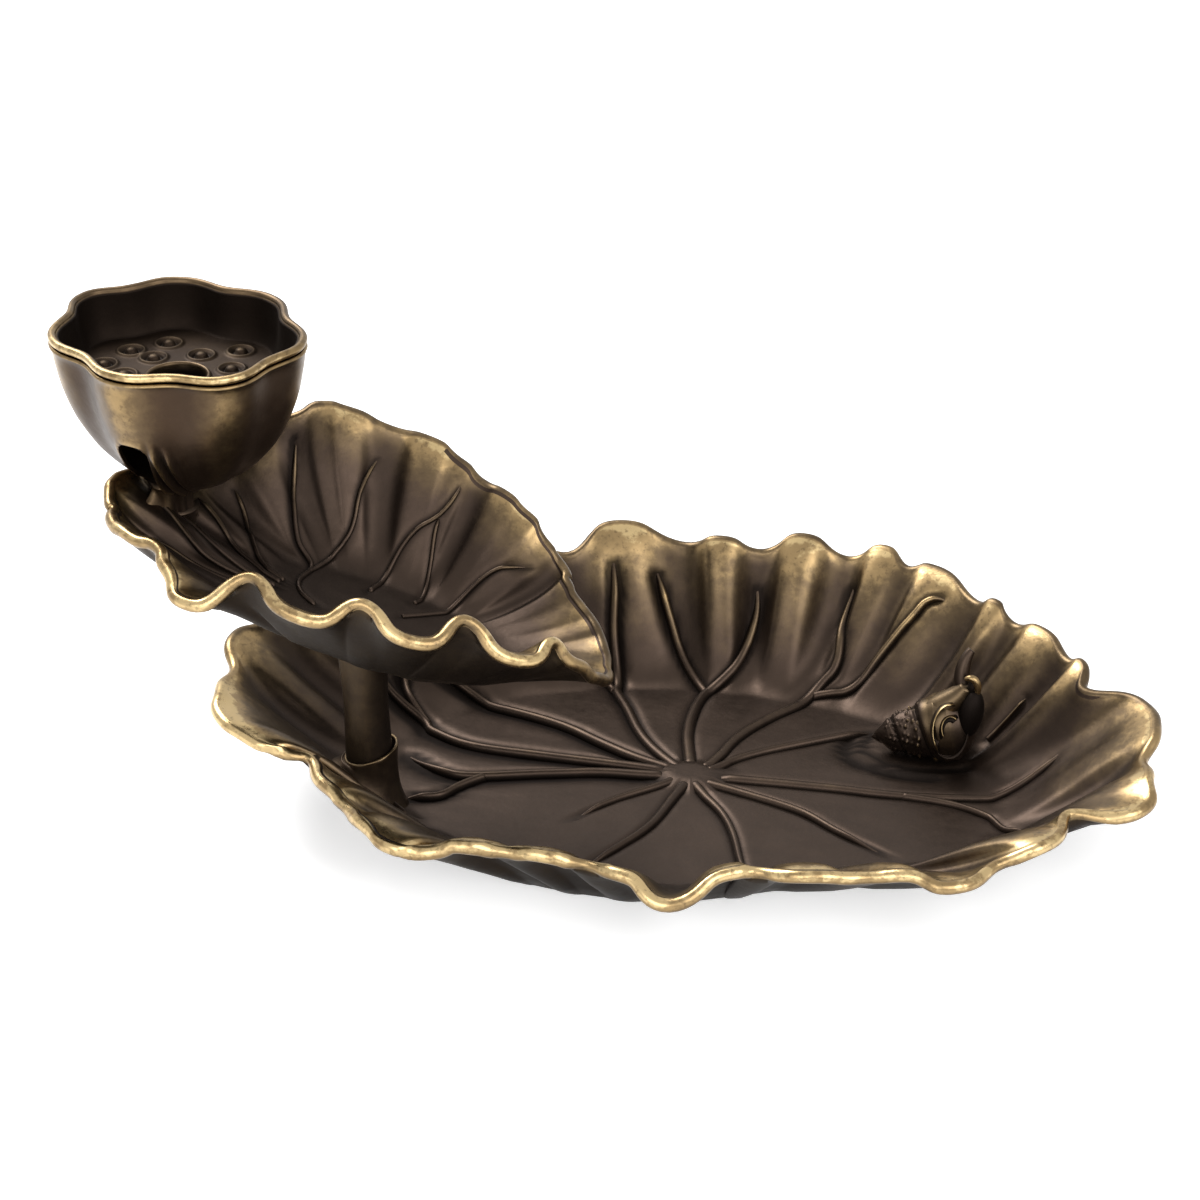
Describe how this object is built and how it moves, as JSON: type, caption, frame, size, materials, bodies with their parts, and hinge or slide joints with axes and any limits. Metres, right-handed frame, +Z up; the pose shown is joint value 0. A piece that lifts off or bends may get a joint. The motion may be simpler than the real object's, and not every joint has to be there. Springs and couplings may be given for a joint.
{
  "type": "backflow incense burner",
  "caption": "Lotus pod cup that holds a backflow cone and pours its smoke over a tilted lotus leaf on a stem into a wide oval leaf dish with a pond snail.",
  "frame": {"origin": "on the resting plane, straight below the point where the veins of the dish meet", "axes": "+X along the dish away from the pod, +Y from the front of the dish to its high back wall, +Z up"},
  "size_m": [0.1718, 0.0929, 0.078],
  "materials": {
    "dish_brass": "dark brown patina, rubbed gold along the rim",
    "leaf_brass": "dark brown patina, rubbed gold along the rim",
    "stem_brass": "dark patina with rubbed highlights",
    "pod_brass": "golden brown antique patina, semi-gloss",
    "liner_brass": "near black patina inside, rubbed gold bead on the rim",
    "snail_brass": "olive brown patina with rubbed highlights",
    "screw_brass": "plain turned brass"
  },
  "bodies": {
    "base": {"dish_leaf": "dish_brass", "stem_socket": "stem_brass", "stem": "stem_brass", "stem_screw": "screw_brass", "upper_leaf": "leaf_brass", "pod_neck": "stem_brass", "pod_bolt": "screw_brass", "pod_washer": "screw_brass", "pod_nut": "screw_brass", "pod_shell": "pod_brass", "snail": "snail_brass", "snail_screw": "screw_brass"},
    "liner": {"pod_liner": "liner_brass"}
  },
  "joints": [
    {"name": "liner_lift", "type": "slide", "parent": "base", "child": "liner", "axis": [0, 0, 1], "range_m": [0, 0.025]}
  ]
}
